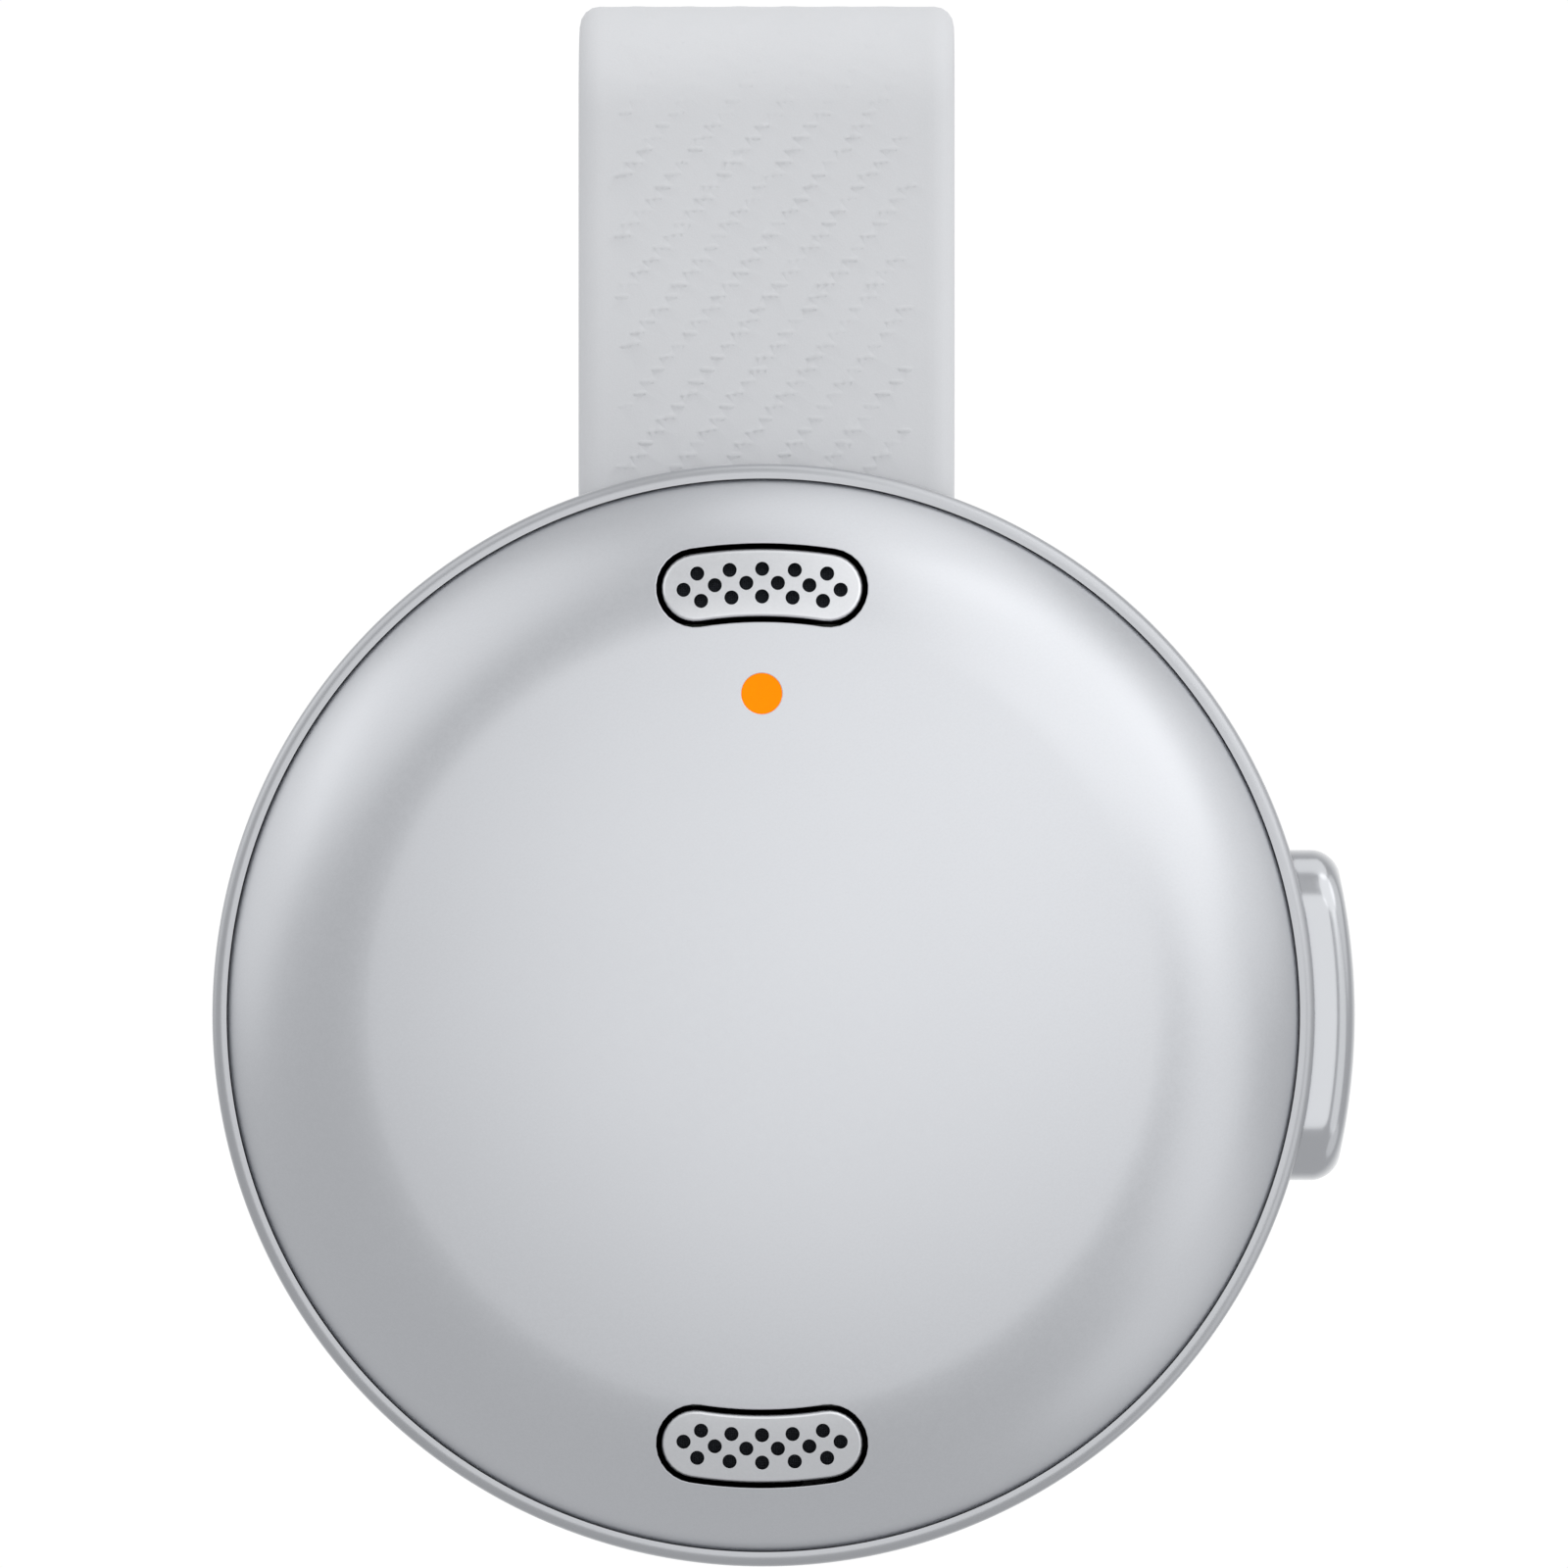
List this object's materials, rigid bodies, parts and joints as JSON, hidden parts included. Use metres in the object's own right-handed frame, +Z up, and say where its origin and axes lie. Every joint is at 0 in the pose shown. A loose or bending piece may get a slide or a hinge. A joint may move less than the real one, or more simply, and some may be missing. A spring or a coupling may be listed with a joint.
{
  "type": "streaming media player",
  "caption": "Clip-on disc-shaped streaming audio player with a domed press-key front, fixed grilles, status light, volume rocker and a sprung strap clip.",
  "frame": {"origin": "on the disc's axis at the flat back of the housing, where the clip's jaw grips cloth", "axes": "+X to the right seen from the front (the volume rocker's side), +Y to the rear, +Z up towards the strap's loop; the front faces -Y"},
  "size_m": [0.0456, 0.0193, 0.0625],
  "materials": {
    "satin_metal": "satin metallic silver paint over a moulded cover, fine fleck",
    "ring_metal": "bead-blasted anodised aluminium, satin",
    "grille_metal": "satin metallic silver paint on punched steel",
    "strap_elastomer": "matte light grey elastomer with a moulded twill texture",
    "grey_plastic": "fine matte moulded plastic",
    "dark_plastic": "matte black glass-filled plastic",
    "light_pipe": "diffusing orange acrylic light pipe, glossy front",
    "spring_steel": "tempered spring steel, lightly brushed",
    "screw_steel": "passivated stainless steel",
    "contact_steel": "bright nickel-plated steel",
    "circuit_board": "green solder mask over glass-epoxy laminate",
    "chip_package": "matte black moulding compound",
    "ceramic": "fired ceramic, matte",
    "cell_foil": "crimped aluminium laminate pouch",
    "foam": "open-cell black foam",
    "tape": "pale adhesive film",
    "lead_insulation": "red and black silicone insulation",
    "flex_circuit": "amber polyimide film",
    "acoustic_mesh": "woven black acoustic mesh",
    "seal_rubber": "black silicone rubber",
    "film_cone": "thin thermoformed film"
  },
  "bodies": {
    "housing": {"chassis_ring": "ring_metal", "inner_frame": "dark_plastic", "rear_cover": "grey_plastic", "rear_seal": "seal_rubber", "rear_cover_screws": "screw_steel", "main_board": "circuit_board", "board_screws": "screw_steel", "processor_shield": "contact_steel", "memory_chip": "chip_package", "board_components": "chip_package", "antenna": "ceramic", "status_led": "ceramic", "front_switch": "chip_package", "upper_grille": "grille_metal", "lower_grille": "grille_metal", "upper_grille_mesh": "acoustic_mesh", "lower_grille_mesh": "acoustic_mesh", "microphone": "contact_steel", "microphone_boot": "seal_rubber", "microphone_board": "flex_circuit", "speaker_frame": "dark_plastic", "speaker_gasket": "foam", "speaker_diaphragm": "film_cone", "speaker_cushion": "foam", "battery": "cell_foil", "battery_tape": "tape", "battery_foam": "foam", "battery_leads": "lead_insulation", "charging_socket": "contact_steel", "socket_tongue": "dark_plastic", "charging_board": "circuit_board", "board_connector": "dark_plastic", "rocker_bracket": "spring_steel", "rocker_pin": "screw_steel", "bracket_screws": "screw_steel", "side_key_flex": "flex_circuit", "side_switches": "chip_package", "side_key_domes": "seal_rubber", "strap_front": "strap_elastomer", "strap_bend": "strap_elastomer", "clip_spring": "spring_steel", "clip_clamp_plate": "spring_steel", "clip_screws": "screw_steel"},
    "front_key": {"front_cover": "satin_metal", "status_lens": "light_pipe", "front_switch_plunger": "dark_plastic"},
    "volume_key": {"volume_rocker": "satin_metal"},
    "clip_arm": {"strap_rear": "strap_elastomer"}
  },
  "joints": [
    {"name": "front_key_press", "type": "slide", "parent": "housing", "child": "front_key", "axis": [0, 1, 0], "range_m": [0, 0.0003], "stiffness_N_per_m": 7000, "springref_m": -0.00003},
    {"name": "volume_rock", "type": "hinge", "parent": "housing", "child": "volume_key", "pos_m": [0.0195, -0.00485, 0], "axis": [0, 1, 0], "range_deg": [-3, 3], "stiffness_Nm_per_rad": 0.18, "deforming": ["side_key_domes"]},
    {"name": "clip_open", "type": "hinge", "parent": "housing", "child": "clip_arm", "pos_m": [0, 0.0022, 0.0365], "axis": [1, 0, 0], "range_deg": [0, 8], "stiffness_Nm_per_rad": 0.6, "springref_deg": -2.29, "deforming": ["strap_bend", "clip_spring"]}
  ]
}
